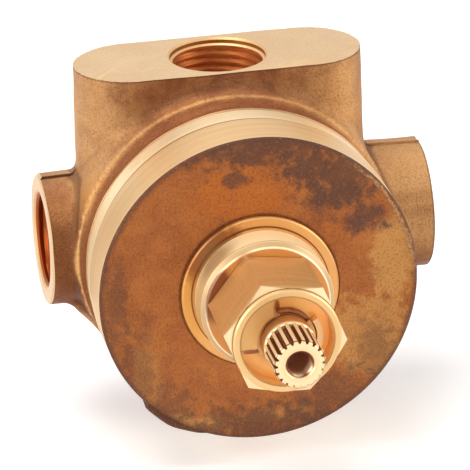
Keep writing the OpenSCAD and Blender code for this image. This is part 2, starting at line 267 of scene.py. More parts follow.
def web_distance(x, f, h):
    """Flat webs under the side ports, each in a plane that touches the drum."""
    side = -np.abs(x)
    plane = side * math.cos(WEB_WAY) + h * math.sin(WEB_WAY) - 35.7
    beyond = h * math.cos(WEB_WAY) - side * math.sin(WEB_WAY)
    edge = rounded_corner(plane, np.abs(f - 2) - 6, 1.5)
    return np.maximum(np.maximum(edge, beyond), np.maximum(h, -37 - side))


def cast_distance(points, settings):
    """Distance of points in mm from the surface of the raw casting."""
    x, f, h = points[:, 0], -points[:, 1], points[:, 2] - AXIS_H
    r = np.hypot(x, h)
    dome = np.hypot(np.maximum(r - 18.4, 0), f) - 17
    front = rounded_corner(r - 35.4, f - 15.6, 1.3)
    body = np.where(f < 0, dome, front)
    for way, reach in ((RIGHT, RIGHT_REACH), (LEFT, LEFT_REACH), (INLET, INLET_REACH)):
        body = round_union(body, port_distance(x, f, h, way, reach), settings.port_fillet)
    body = round_union(body, web_distance(x, f, h), 1.0)
    bulge = np.maximum(np.abs(x) - 19.5, 0)
    spread = np.hypot(bulge, f)
    end_share = (bulge / np.maximum(spread, 1e-6)) ** 2 * (x < 0)
    boss = spread - 12.3 - (0.008 + 0.012 * end_share) * (TOP_REACH - h)
    boss = np.maximum(np.maximum(boss, h - TOP_REACH - 0.35), -h)
    to_front = np.clip((f - 5) / 7, 0, 1)
    fillet = settings.port_fillet + (settings.boss_fillet - settings.port_fillet) * to_front
    body = round_union(body, boss, fillet)
    disc = np.maximum(np.maximum(r - 35.2, f - FRONT - 0.4), 13 - f)
    body = np.minimum(body, disc)
    groove = np.hypot(r - 36.2, f - 18.3) - 3.2
    return rounded_corner(body, -groove, 0.4)


def slow_waves(points, seed, length, count=24):
    """A smooth random field of about -1 to 1 over points in mm."""
    rng = np.random.default_rng(seed)
    way = rng.normal(size=(count, 3))
    way /= np.linalg.norm(way, axis=1)[:, None]
    pitch = length * rng.uniform(0.6, 1.6, count)
    phase = rng.uniform(0, 2 * math.pi, count)
    return np.sin(points @ (way / pitch[:, None]).T * 2 * math.pi + phase).sum(1) / math.sqrt(count)


def settle(obj, distance, rounds=8, step=0.05):
    """Moves the mesh's vertices on to the surface where distance is zero."""
    mesh = obj.data
    co = np.empty(len(mesh.vertices) * 3)
    mesh.vertices.foreach_get("co", co)
    co = co.reshape(-1, 3)
    for _ in range(rounds):
        d = distance(co)
        slope = np.stack([distance(co + e) - distance(co - e)
                          for e in np.eye(3) * step], 1) / (2 * step)
        size = np.maximum((slope ** 2).sum(1), 0.25)
        move = -(d / size)[:, None] * slope
        long = np.linalg.norm(move, axis=1)
        co += move * np.minimum(1, 0.8 / np.maximum(long, 1e-9))[:, None]
    mesh.vertices.foreach_set("co", co.ravel())
    mesh.update()


def raw_casting(settings):
    """The casting before machining: one fine mesh settled on the blended shape."""
    spindle = spindle_frame()
    rough = [
        lathe("rough_drum", [(18, -16.8), (30, -13), (35.2, -4), (35.2, 13), (33.5, 15.5),
                             (34, 22), (35, 22), (35, FRONT + 0.3)], spindle, CAST),
        lathe("rough_right", [(PORT_R, 0), (PORT_R, RIGHT_REACH + 0.4)], port_frame(RIGHT), CAST),
        lathe("rough_left", [(PORT_R, 0), (PORT_R, LEFT_REACH + 0.4)], port_frame(LEFT), CAST),
        lathe("rough_inlet", [(PORT_R, 0), (PORT_R, INLET_REACH + 0.4)], port_frame(INLET), CAST),
        lathe("rough_end_left", [(12.3, 0), (12.3, TOP_REACH + 0.3)],
              Matrix.Translation((-19.5, 0, AXIS_H)), CAST),
        lathe("rough_end_right", [(12.3, 0), (12.3, TOP_REACH + 0.3)],
              Matrix.Translation((19.5, 0, AXIS_H)), CAST),
        box_solid("rough_boss", (-19.5, -12.3, AXIS_H), (19.5, 12.3, AXIS_H + TOP_REACH + 0.3),
                  CAST),
    ]
    bm = bmesh.new()
    for obj in rough:
        bm.from_mesh(obj.data)
        bpy.data.objects.remove(obj)
    mesh = bpy.data.meshes.new("raw_casting")
    bm.to_mesh(mesh)
    bm.free()
    raw = bpy.data.objects.new("raw_casting", mesh)
    bpy.context.scene.collection.objects.link(raw)
    remesh = raw.modifiers.new("remesh", "REMESH")
    remesh.mode = "VOXEL"
    remesh.voxel_size = settings.voxel
    evaluated = raw.evaluated_get(bpy.context.evaluated_depsgraph_get())
    fine = bpy.data.meshes.new_from_object(evaluated)
    raw.modifiers.clear()
    raw.data = fine
    settle(raw, lambda p: cast_distance(p, settings))
    bm = bmesh.new()
    bm.from_mesh(raw.data)
    for y in (-0.06, 0.06):
        bmesh.ops.bisect_plane(bm, geom=bm.verts[:] + bm.edges[:] + bm.faces[:], dist=0.02,
                               plane_co=(0, y, 0), plane_no=(0, 1, 0))
    bmesh.ops.triangulate(bm, faces=bm.faces[:])
    bm.to_mesh(raw.data)
    bm.free()
    settle(raw, lambda p: cast_distance(p, settings)
           + settings.waviness * slow_waves(p, 5, 14), rounds=6)
    for material in CASTING_MATERIALS:
        raw.data.materials.append(bpy.data.materials[material])
    return raw


# Machining

def thread_cutter(name, way, reach, mouth, inner, inner_r):
    """Waterway, then a bore with a pipe thread, then the mouth, outlined from the port's face."""
    crest, root, pitch, steps = 9.9, 10.48, 1.814, 96
    low = reach - THREAD_DEPTH
    spins = [2 * math.pi * i / steps for i in range(steps)]

    def plain_ring(r, z):
        return [(r * math.cos(a), r * math.sin(a), z) for a in spins]

    rings = [plain_ring(r, z) for r, z in (
        (inner_r, inner), (inner_r, low - 1.2), (crest, low - 0.4), (root, low),
        (root, low + 1.2))]
    z = low + 1.3
    while z < reach + mouth[0][1] - 0.12:
        ring = []
        for a in spins:
            phase = (z / pitch - a / (2 * math.pi)) % 1.0
            slope = min(max((abs(2 * phase - 1) - 0.12) / 0.76, 0), 1)
            r = crest + (root - crest) * slope
            ring.append((r * math.cos(a), r * math.sin(a), z))
        rings.append(ring)
        z += pitch / 8
    rings += [plain_ring(r, reach + rise) for r, rise in mouth]
    points, faces = surface_of_rings(rings)
    return make_object(name, points, faces, port_frame(way), BORED)


def gate_stub():
    """What is left of the casting's gate: an uneven bulge on the disc's lower left edge."""
    first, last, steps = math.radians(224.5), math.radians(252), 40
    offset, radius = 16.1, 20.0
    rings = []
    for z, inset in ((33, 1.0), (33.8, 0.3), (39.2, 0.1), (39.75, 0.5)):
        ring = []
        for i in range(steps + 1):
            a = first + (last - first) * i / steps
            turn = a - STUB_WAY
            r = offset * math.cos(turn) + math.sqrt(radius ** 2 - (offset * math.sin(turn)) ** 2)
            r += 0.12 * math.sin(9 * turn + 1) + 0.07 * math.sin(31 * turn) - inset
            ring.append((r * math.cos(a), r * math.sin(a), z))
        for a in (last, first):
            ring.append((32 * math.cos(a), 32 * math.sin(a), z))
        rings.append(ring)
    points, faces = surface_of_rings(rings)
    return make_object("gate_stub", points, faces, spindle_frame(), FACE)


def machine(casting):
    """Cuts the faces, lands, threads and bores into the raw casting."""
    spindle = spindle_frame()
    combine(casting, box_solid("top_cut", (-50, -30, AXIS_H + TOP_REACH), (50, 30, 100)))
    combine(casting, box_solid("left_cut", (-60, -30, 10), (-LEFT_REACH, 30, 70)))
    combine(casting, turned_ring("left_bevel", [
        (13.4, LEFT_REACH + 0.45), (14.9, LEFT_REACH - 0.75), (18, LEFT_REACH - 0.75),
        (18, LEFT_REACH + 0.45)], port_frame(LEFT)))
    combine(casting, box_solid("right_cut", (RIGHT_REACH, -30, 10), (60, 30, 70)))
    combine(casting, box_solid("inlet_cut", (-30, -30, -10), (30, 30, AXIS_H - INLET_REACH)))
    combine(casting, turned_ring("land_cut", [
        (34.1, 21.05), (34.1, 28), (34.7, 28.3), (34.7, 39.55), (42, 39.55), (42, 19.4),
        (35.6, 19.4)], spindle, TURNED))
    combine(casting, turned_ring("face_cut", [
        (10, FRONT), (10, FRONT + 3), (42, FRONT + 3), (42, 39.5), (34.75, 39.5),
        (34.3, FRONT)], spindle, FACE))
    chamber = turned_ring("chamber_cut", [
        (17, -12.5), (20, -12.5), (28.5, -5), (28.5, 31), (25.5, 34), (17, 34)], spindle, CAST)
    combine(chamber, lathe("barrel", [(18.5, -7.5), (18.5, 50)], spindle, CAST))
    for way in (RIGHT, TOP, LEFT):
        combine(chamber, lathe("tube", [(11.5, 2), (11.5, 24), (PORT_R, 24.01), (PORT_R, 33)],
                               port_frame(way), CAST))
    combine(chamber, lathe("back", [(17.5, -13), (17.5, -7.6)], spindle, CAST), "UNION")
    combine(casting, chamber)
    combine(casting, lathe("bore_cut", [
        (13.6, -8), (13.6, 20), (14.05, 20.01), (14.05, 44)], spindle))
    combine(casting, lathe("spot_face_cut", [(17.6, FRONT - 0.3), (17.6, 44)], spindle, FACE))
    for way in (RIGHT, TOP, LEFT):
        combine(casting, lathe("pocket_cut", [(7.4, 8), (7.4, 24)], port_frame(way), steps=64))
    for name, way, reach, mouth in (("left", LEFT, LEFT_REACH, BEVELLED_MOUTH),
                                    ("top", TOP, TOP_REACH, STEPPED_MOUTH),
                                    ("right", RIGHT, RIGHT_REACH, BEVELLED_MOUTH)):
        combine(casting, thread_cutter(name + "_thread_cut", way, reach, mouth, 23.5, 5.2))
    combine(casting, thread_cutter("inlet_thread_cut", INLET, INLET_REACH, BEVELLED_MOUTH,
                                   19.5, 8.98))
    combine(casting, gate_stub(), "UNION")
    return casting


def smooth_shading(mesh, degrees):
    mesh.polygons.foreach_set("use_smooth", [True] * len(mesh.polygons))
    mesh.set_sharp_from_angle(angle=math.radians(degrees))


def mark_crests(obj, settings, reach=1.5):
    """Stores how strongly the raw surface curves outward (crest) or inward (hollow)."""
    mesh = obj.data
    co = np.empty(len(mesh.vertices) * 3)
    mesh.vertices.foreach_get("co", co)
    co = co.reshape(-1, 3)
    bend = sum(cast_distance(co + e, settings) + cast_distance(co - e, settings)
               for e in np.eye(3) * reach) - 6 * cast_distance(co, settings)
    cut_away = np.minimum.reduce([AXIS_H + TOP_REACH - co[:, 2], RIGHT_REACH - co[:, 0],
                                  LEFT_REACH + co[:, 0], co[:, 2]])
    raw = np.clip(cut_away / 1.5 - 0.6, 0, 1) * (co[:, 1] > -20)
    for name, value in (("crest", bend), ("hollow", -bend)):
        layer = mesh.attributes.new(name, "FLOAT", "POINT")
        value = np.clip(value / reach, 0, 1) * raw
        layer.data.foreach_set("value", value.astype(np.float32))


# Node helpers

class Tree:
    """Short calls for building one node tree."""

    def __init__(self, tree):
        self.tree = tree
        self.count = 0

    def node(self, kind, inputs=None, **settings):
        made = self.tree.nodes.new(kind)
        made.location = (200 * (self.count % 12) - 1200, -220 * (self.count // 12))
        self.count += 1
        for name, value in settings.items():
            setattr(made, name, value)
        for key, value in (inputs or {}).items():
            self.feed(made.inputs[key], value)
        return made

    def feed(self, socket, value):
        if isinstance(value, bpy.types.NodeSocket):
            self.tree.links.new(value, socket)
        elif isinstance(value, bpy.types.Node):
            self.tree.links.new(value.outputs[0], socket)
        else:
            socket.default_value = value

    def math(self, operation, *values, clamp=False):
        return self.node("ShaderNodeMath", dict(enumerate(values)), operation=operation,
                         use_clamp=clamp).outputs[0]

    def ramp(self, value, low, high, to_low=0.0, to_high=1.0):
        return self.node("ShaderNodeMapRange", {
            "Value": value, "From Min": low, "From Max": high, "To Min": to_low,
            "To Max": to_high}, interpolation_type="SMOOTHSTEP").outputs["Result"]

    def band(self, value, low, high, soft):
        """1 where the value lies between low and high, with soft ends."""
        return self.math("MULTIPLY", self.ramp(value, low - soft, low + soft),
                         self.ramp(value, high + soft, high - soft))

    def noise(self, vector, scale, detail=3.0, rough=0.55, distortion=0.0):
        return self.node("ShaderNodeTexNoise", {
            "Vector": vector, "Scale": scale, "Detail": detail, "Roughness": rough,
            "Distortion": distortion}).outputs["Fac"]

    def mix(self, factor, a, b, blend="MIX"):
        made = self.node("ShaderNodeMix", data_type="RGBA", blend_type=blend,
                         clamp_factor=True)
        self.feed(made.inputs["Factor"], factor)
        colours = [s for s in made.inputs if s.type == "RGBA"]
        for socket, value in zip(colours, (a, b)):
            if isinstance(value, (tuple, list)) or hasattr(value, "r"):
                value = tuple(value)[:3] + (1.0,)
            self.feed(socket, value)
        return [s for s in made.outputs if s.type == "RGBA"][0]


def new_group(name, inputs, outputs):
    """A shader node group with named float, colour or vector sockets, and its ends."""
    kinds = {"float": "NodeSocketFloat", "colour": "NodeSocketColor", "vector": "NodeSocketVector"}
    group = bpy.data.node_groups.new(name, "ShaderNodeTree")
    for socket, kind, default in inputs:
        made = group.interface.new_socket(socket, in_out="INPUT", socket_type=kinds[kind])
        if default is not None:
            made.default_value = default
    for socket, kind in outputs:
        group.interface.new_socket(socket, in_out="OUTPUT", socket_type=kinds[kind])
    tree = Tree(group)
    start = tree.node("NodeGroupInput")
    end = tree.node("NodeGroupOutput")
    return tree, start, end


def build_grain_group():
    """Sand grain of a raw casting: fine pits and lumps over slower mottling."""
    tree, start, end = new_group("Cast grain", [
        ("Position", "vector", None), ("Grain Size", "float", 1300.0),
        ("Mottle Size", "float", 160.0)],
        [("Grain", "float"), ("Pits", "float"), ("Mottle", "float")])
    position = start.outputs["Position"]
    fine = tree.noise(position, start.outputs["Grain Size"], 4.0, 0.6)
    cells = tree.node("ShaderNodeTexVoronoi", {
        "Vector": position, "Scale": tree.math("MULTIPLY", start.outputs["Grain Size"], 0.55)},
        feature="F1")
    pits = tree.ramp(cells.outputs["Distance"], 0.28, 0.02)
    gate = tree.ramp(tree.noise(position, 420.0, 2.0), 0.5, 0.62)
    tree.feed(end.inputs["Grain"], fine)
    tree.feed(end.inputs["Pits"], tree.math("MULTIPLY", pits, gate))
    tree.feed(end.inputs["Mottle"], tree.noise(position, start.outputs["Mottle Size"], 5.0, 0.62,
                                               0.4))
    return tree.tree


def build_turning_group():
    """Fine lines left by a turning tool round the spindle axis."""
    tree, start, end = new_group("Turning lines", [
        ("Position", "vector", None), ("Lines", "float", 5200.0)],
        [("Line Height", "float"), ("Streak", "float")])
    parts = tree.node("ShaderNodeSeparateXYZ", {"Vector": start.outputs["Position"]})
    height = tree.math("SUBTRACT", parts.outputs["Z"], AXIS_H * MM)
    radius = tree.math("SQRT", tree.math("ADD", tree.math("POWER", parts.outputs["X"], 2.0),
                                         tree.math("POWER", height, 2.0)))
    across = tree.math("ADD", radius, tree.math("MULTIPLY", parts.outputs["Y"], 0.83))
    line = tree.node("ShaderNodeCombineXYZ", {
        "X": tree.math("MULTIPLY", across, start.outputs["Lines"]), "Y": 0.37, "Z": 1.9})
    streak = tree.node("ShaderNodeCombineXYZ", {
        "X": tree.math("MULTIPLY", across, tree.math("MULTIPLY", start.outputs["Lines"], 0.16)),
        "Y": 4.1, "Z": 0.6})
    tree.feed(end.inputs["Line Height"], tree.noise(line, 1.0, 2.0))
    tree.feed(end.inputs["Streak"], tree.noise(streak, 1.0, 3.0))
    return tree.tree


def build_stain_group():
    """Cloudy patches of tarnish with soft edges."""
    tree, start, end = new_group("Tarnish", [
        ("Position", "vector", None), ("Patch Size", "float", 70.0), ("Cover", "float", 0.5),
        ("Softness", "float", 0.12)], [("Mask", "float")])
    patches = tree.noise(start.outputs["Position"], start.outputs["Patch Size"], 6.0, 0.6, 0.5)
    low = tree.math("SUBTRACT", 1.0, start.outputs["Cover"])
    high = tree.math("ADD", low, start.outputs["Softness"])
    tree.feed(end.inputs["Mask"], tree.ramp(patches, low, high))
    return tree.tree


def build_zone_group():
    """Distances in mm from the spindle axis, and in front of the plane of the ports."""
    tree, start, end = new_group("Spindle zones", [("Position", "vector", None)],
                                 [("Radius", "float"), ("Front", "float")])
    parts = tree.node("ShaderNodeSeparateXYZ", {"Vector": start.outputs["Position"]})
    height = tree.math("SUBTRACT", parts.outputs["Z"], AXIS_H * MM)
    radius = tree.math("SQRT", tree.math("ADD", tree.math("POWER", parts.outputs["X"], 2.0),
                                         tree.math("POWER", height, 2.0)))
    tree.feed(end.inputs["Radius"], tree.math("MULTIPLY", radius, 1 / MM))
    tree.feed(end.inputs["Front"], tree.math("MULTIPLY", parts.outputs["Y"], -1 / MM))
    return tree.tree


def build_patch_group():
    """One ragged patch round a centre, as broad along each axis as its reach says."""
    tree, start, end = new_group("Placed patch", [
        ("Position", "vector", None), ("Centre", "vector", None), ("Reach", "vector", None),
        ("Ragged", "float", 0.5), ("Softness", "float", 0.25), ("Lump Size", "float", 420.0)],
        [("Mask", "float")])
    away = tree.node("ShaderNodeVectorMath", {0: start.outputs["Position"],
                                              1: start.outputs["Centre"]}, operation="SUBTRACT")
    share = tree.node("ShaderNodeVectorMath", {0: away, 1: start.outputs["Reach"]},
                      operation="DIVIDE")
    far = tree.node("ShaderNodeVectorMath", {0: share}, operation="LENGTH").outputs["Value"]
    lumps = tree.noise(start.outputs["Position"], start.outputs["Lump Size"], 5.0, 0.65)
    lumps = tree.math("MULTIPLY", tree.math("SUBTRACT", lumps, 0.5), start.outputs["Ragged"])
    soft = start.outputs["Softness"]
    tree.feed(end.inputs["Mask"], tree.ramp(
        tree.math("ADD", far, tree.math("MULTIPLY", lumps, 4.0)),
        tree.math("ADD", 1.0, soft), tree.math("SUBTRACT", 1.0, soft)))
    return tree.tree


def place_group(tree, group, **inputs):
    made = tree.node("ShaderNodeGroup", node_tree=group)
    for name, value in inputs.items():
        tree.feed(made.inputs[name.replace("_", " ")], value)
    return made


def new_material(name):
    material = bpy.data.materials.new(name)
    material.use_nodes = True
    material.node_tree.nodes.clear()
    tree = Tree(material.node_tree)
    shader = tree.node("ShaderNodeBsdfPrincipled")
    output = tree.node("ShaderNodeOutputMaterial")
    tree.tree.links.new(shader.outputs["BSDF"], output.inputs["Surface"])
    return tree, shader


def add_patches(tree, groups, position, colour, paint, patches, ragged=0.5, softness=0.25,
                lump_size=420.0):
    """Lays patches of (centre in mm, reach in mm, strength) of one paint over the colour."""
    for centre, reach, strength in patches:
        patch = place_group(tree, groups["patch"], Position=position,
                            Centre=[v * MM for v in centre], Reach=[v * MM for v in reach],
                            Ragged=ragged, Softness=softness, Lump_Size=lump_size)
        colour = tree.mix(tree.math("MULTIPLY", patch.outputs["Mask"], strength), colour, paint)
    return colour


def object_position(tree):
    return tree.node("ShaderNodeTexCoord").outputs["Object"]


def bump(tree, height, distance, strength=1.0, normal=None):
    made = tree.node("ShaderNodeBump", {"Height": height, "Distance": distance,
                                        "Strength": strength})
    if normal is not None:
        tree.feed(made.inputs["Normal"], normal)
    return made.outputs["Normal"]


# Materials

def cast_skin(groups, colours):
    """Raw cast brass: brown, with painted highlights on its ends and front edge, worn golden on its
    crests, painted shade in its groove and hollows, specked.
    """
    tree, shader = new_material("cast_skin")
    position = object_position(tree)
    zones = place_group(tree, groups["zones"], Position=position)
    grain = place_group(tree, groups["grain"], Position=position, Grain_Size=2200.0,
                        Mottle_Size=170.0)
    stain = place_group(tree, groups["stain"], Position=position, Patch_Size=95.0, Cover=0.5,
                        Softness=0.2)
    crest = tree.node("ShaderNodeAttribute", attribute_name="crest").outputs["Fac"]
    hollow = tree.node("ShaderNodeAttribute", attribute_name="hollow").outputs["Fac"]
    colour = tree.mix(tree.ramp(grain.outputs["Mottle"], 0.36, 0.66), colours.cast_dark,
                      colours.cast)
    # Painted highlights: golden light on the boss's rounded ends, the right port and the lower left
    colour = add_patches(tree, groups, position, colour, colours.cast_highlight, (
        ((-31, -4, 60), (11, 16, 22), 1.0),
        ((31, -4, 62), (17, 16, 22), 1.0),
        ((45, -6, 46), (13, 20, 15), 0.9),
        ((-30, -4, 21), (9, 9, 6), 0.7)), 0.30, 0.6, 300.0)
    # Painted shade: dark brown down the boss's right end and under and along the side ports
    colour = add_patches(tree, groups, position, colour, (0.22, 0.068, 0.022), (
        ((-37, -9, 38), (7, 13, 18), 0.7),
        ((-34, -13, 30), (4, 5, 14), 0.6),
        ((-39, -8, 51), (4, 8, 5), 0.5),
        ((31, -5, 64), (2.8, 5, 24), 0.6),
        ((38, -13, 46.5), (9, 5, 1.3), 0.25),
        ((42, -13, 43.5), (4, 5, 1.5), 0.3),
        ((40, -9, 31), (9, 8, 5), 0.25)), 0.3, 0.5, 300.0)
    # Painted highlights: warm orange light on the left port's top and the boss's front ends
    colour = add_patches(tree, groups, position, colour, (0.62, 0.30, 0.090), (
        ((-37, -11, 50), (2.5, 4, 2.5), 0.25),
        ((-32, -13, 57), (3.5, 5, 6), 0.8),
        ((30, -11, 67), (14, 8, 11), 0.45)), 0.2, 0.6, 300.0)
    colour = tree.mix(tree.math("MULTIPLY", stain.outputs["Mask"], 0.35), colour,
                      colours.cast_dark)
    # Painted shade in the groove between the disc and the boss
    neck_shade = tree.math("MULTIPLY", tree.band(zones.outputs["Front"], 15.7, 22.0, 0.4),
                     tree.ramp(zones.outputs["Radius"], 36.0, 35.2))
    colour = tree.mix(tree.math("MULTIPLY", neck_shade, 0.8), colour, (0.27, 0.083, 0.026))
    # Painted highlight along the drum's front edge, mixed with real wear that turns the crests
    # golden
    ridge_highlight = tree.math("MULTIPLY", tree.band(zones.outputs["Front"], 14.85, 15.6, 0.3),
                      tree.band(zones.outputs["Radius"], 34.8, 36.0, 0.25))
    parts = tree.node("ShaderNodeSeparateXYZ", {"Vector": position})
    ridge_highlight = tree.math("MULTIPLY", ridge_highlight, tree.ramp(parts.outputs["X"], -0.034, -0.026, 1.0, 0.55))
    highlight_and_wear = tree.math("MULTIPLY", tree.math("MAXIMUM", ridge_highlight, tree.ramp(crest, 0.3, 1.0, 0, 0.4)),
                    tree.ramp(grain.outputs["Mottle"], 0.3, 0.5, 0.6, 1.0))
    colour = tree.mix(tree.math("MULTIPLY", highlight_and_wear, 0.9), colour, (0.74, 0.42, 0.15))
    # Painted shade in the hollows of the raw surface
    colour = tree.mix(tree.math("MULTIPLY", tree.ramp(hollow, 0.15, 0.8), 0.6), colour,
                      (0.12, 0.04, 0.016))
    height = tree.math("MULTIPLY", parts.outputs["Z"], 1 / MM)
    edge = tree.math("MULTIPLY", tree.math("MAXIMUM", tree.ramp(height, 78.9, 79.3), tree.ramp(
        parts.outputs["X"], 0.0445, 0.0449)), 0.6)
    crease = tree.math("MULTIPLY", tree.band(zones.outputs["Front"], -0.3, 0.45, 0.15),
                       tree.math("MULTIPLY", tree.band(height, 51, 56, 0.5),
                                 tree.ramp(zones.outputs["Radius"], 33.0, 34.5)))
    crease = tree.math("MULTIPLY", crease, tree.ramp(parts.outputs["X"], 0.026, 0.040, 0.85, 0.1))
    colour = tree.mix(tree.math("MAXIMUM", edge, crease), colour, (0.10, 0.034, 0.014))
    grit = tree.ramp(grain.outputs["Grain"], 0.50, 0.36)
    specks = tree.math("MAXIMUM", tree.math("MULTIPLY", grit, 0.33),
                       tree.math("MULTIPLY", grain.outputs["Pits"], 0.3))
    colour = tree.mix(specks, colour, (0.09, 0.032, 0.015))
    shine = tree.math("MULTIPLY", tree.ramp(grain.outputs["Grain"], 0.56, 0.74), 0.2)
    colour = tree.mix(shine, colour, (0.62, 0.32, 0.12))
    tree.feed(shader.inputs["Base Color"], colour)
    tree.feed(shader.inputs["Metallic"], 0.6)
    tree.feed(shader.inputs["Specular IOR Level"], 0.25)
    tree.feed(shader.inputs["Roughness"], tree.ramp(grain.outputs["Mottle"], 0.3, 0.7, 0.62,
                                                    0.50))
    height = tree.math("SUBTRACT", grain.outputs["Grain"],
                       tree.math("MULTIPLY", grain.outputs["Pits"], 0.4))
    tree.feed(shader.inputs["Normal"], bump(tree, height, 0.0002, 0.85))


def port_thread(groups, colours):
    """Threads and waterways of the ports: dark, reddish brass with a paler mouth."""
    tree, shader = new_material("port_thread")
    position = object_position(tree)
    grain = place_group(tree, groups["grain"], Position=position, Grain_Size=2400.0,
                        Mottle_Size=260.0)
    colour = tree.mix(tree.ramp(grain.outputs["Mottle"], 0.34, 0.66), colours.thread_dark,
                      colours.thread)
    parts = tree.node("ShaderNodeSeparateXYZ", {"Vector": position})
    across, height = parts.outputs["X"], parts.outputs["Z"]
    # Painted light: the top port thread's downward-facing flanks are painted paler to lighten their
    # shade
    facing = tree.node("ShaderNodeSeparateXYZ", {
        "Vector": tree.node("ShaderNodeNewGeometry").outputs["Normal"]})
    painted_underside_light = tree.math("MULTIPLY", tree.ramp(facing.outputs["Z"], 0.15, -0.5),
                      tree.ramp(height, 60 * MM, 62 * MM))
    colour = tree.mix(painted_underside_light, colour, colours.thread_underside_light)
    side = tree.math("MINIMUM", tree.math("ADD", across, LEFT_REACH * MM),
                     tree.math("SUBTRACT", RIGHT_REACH * MM, across))
    top = tree.math("SUBTRACT", (AXIS_H + TOP_REACH) * MM, height)
    depth = tree.math("MULTIPLY", tree.math("MINIMUM", side, top), 1 / MM)
    top = tree.math("MULTIPLY", top, 1 / MM)
    left = tree.math("MULTIPLY", tree.ramp(across, -0.022, -0.028), 0.9)
    colour = tree.mix(left, colour, (0.34, 0.06, 0.008))
    colour = paint_zone(tree, colour, (0.36, 0.145, 0.03), (top, 0.4, 1.15, 0.05))
    colour = paint_zone(tree, colour, (0.74, 0.44, 0.205), (top, 1.15, 1.5, 0.04))
    colour = paint_zone(tree, colour, (0.70, 0.43, 0.19), (depth, -0.5, 0.4, 0.05))
    tree.feed(shader.inputs["Base Color"], colour)
    tree.feed(shader.inputs["Metallic"], 0.6)
    tree.feed(shader.inputs["Specular IOR Level"], 0.2)
    tree.feed(shader.inputs["Roughness"], tree.ramp(grain.outputs["Grain"], 0.3, 0.7, 0.48,
                                                    0.38))
    tree.feed(shader.inputs["Normal"], bump(tree, grain.outputs["Grain"], 0.00004, 0.5))


def milled_face(groups, colours):
    """Milled faces and threads of the casting: even, pale brass with a fine grain."""
    tree, shader = new_material("milled_face")
    position = object_position(tree)
    grain = place_group(tree, groups["grain"], Position=position, Grain_Size=2600.0,
                        Mottle_Size=120.0)
    turning = place_group(tree, groups["turning"], Position=position, Lines=2600.0)
    colour = tree.mix(tree.ramp(grain.outputs["Mottle"], 0.2, 0.8), (0.66, 0.44, 0.235),
                      (0.73, 0.51, 0.29))
    colour = tree.mix(tree.math("MULTIPLY", tree.ramp(grain.outputs["Grain"], 0.55, 0.35), 0.35),
                      colour, colours.machined_dark)
    tree.feed(shader.inputs["Base Color"], colour)
    tree.feed(shader.inputs["Metallic"], 0.7)
    tree.feed(shader.inputs["Roughness"], tree.ramp(grain.outputs["Grain"], 0.3, 0.7, 0.46,
                                                    0.38))
    height = tree.math("ADD", grain.outputs["Grain"],
                       tree.math("MULTIPLY", turning.outputs["Line Height"], 0.3))
    tree.feed(shader.inputs["Normal"], bump(tree, height, 0.00003, 0.4))


def turned_land(groups, colours):
    """The two turned lands behind the disc's face, with a painted highlight on the rear one and a
    painted shadow behind the step.
    """
    tree, shader = new_material("turned_land")
    position = object_position(tree)
    zones = place_group(tree, groups["zones"], Position=position)
    turning = place_group(tree, groups["turning"], Position=position, Lines=5200.0)
    stain = place_group(tree, groups["stain"], Position=position, Patch_Size=120.0, Cover=0.46,
                        Softness=0.3)
    front = zones.outputs["Front"]
    colour = tree.mix(tree.ramp(turning.outputs["Streak"], 0.3, 0.75), colours.machined,
                      (0.80, 0.545, 0.285))
    # Painted highlight: the rear land is painted brighter
    colour = tree.mix(tree.band(front, 20, 28.1, 0.1), colour, (0.93, 0.74, 0.45))
    colour = add_patches(tree, groups, position, colour, (0.62, 0.38, 0.165), (
        ((-34, -34, 50), (12, 6.0, 26), 0.75),), 0.05, 0.5)
    colour = tree.mix(tree.math("MULTIPLY", stain.outputs["Mask"], 0.25), colour,
                      colours.machined_dark)
    # Painted shadow on the rear land just behind the step, and painted shade at the land's rear
    # edge
    step = tree.math("MAXIMUM", tree.band(front, 26.4, 28.4, 0.15),
                     tree.ramp(front, 21.4, 21.1))
    colour = tree.mix(tree.math("MULTIPLY", step, 0.85), colour, (0.34, 0.15, 0.05))
    tree.feed(shader.inputs["Base Color"], colour)
    tree.feed(shader.inputs["Metallic"], 0.8)
    tree.feed(shader.inputs["Roughness"], tree.ramp(turning.outputs["Streak"], 0.3, 0.7, 0.46,
                                                    0.40))
    tree.feed(shader.inputs["Normal"], bump(tree, turning.outputs["Line Height"], 0.00003, 0.35))


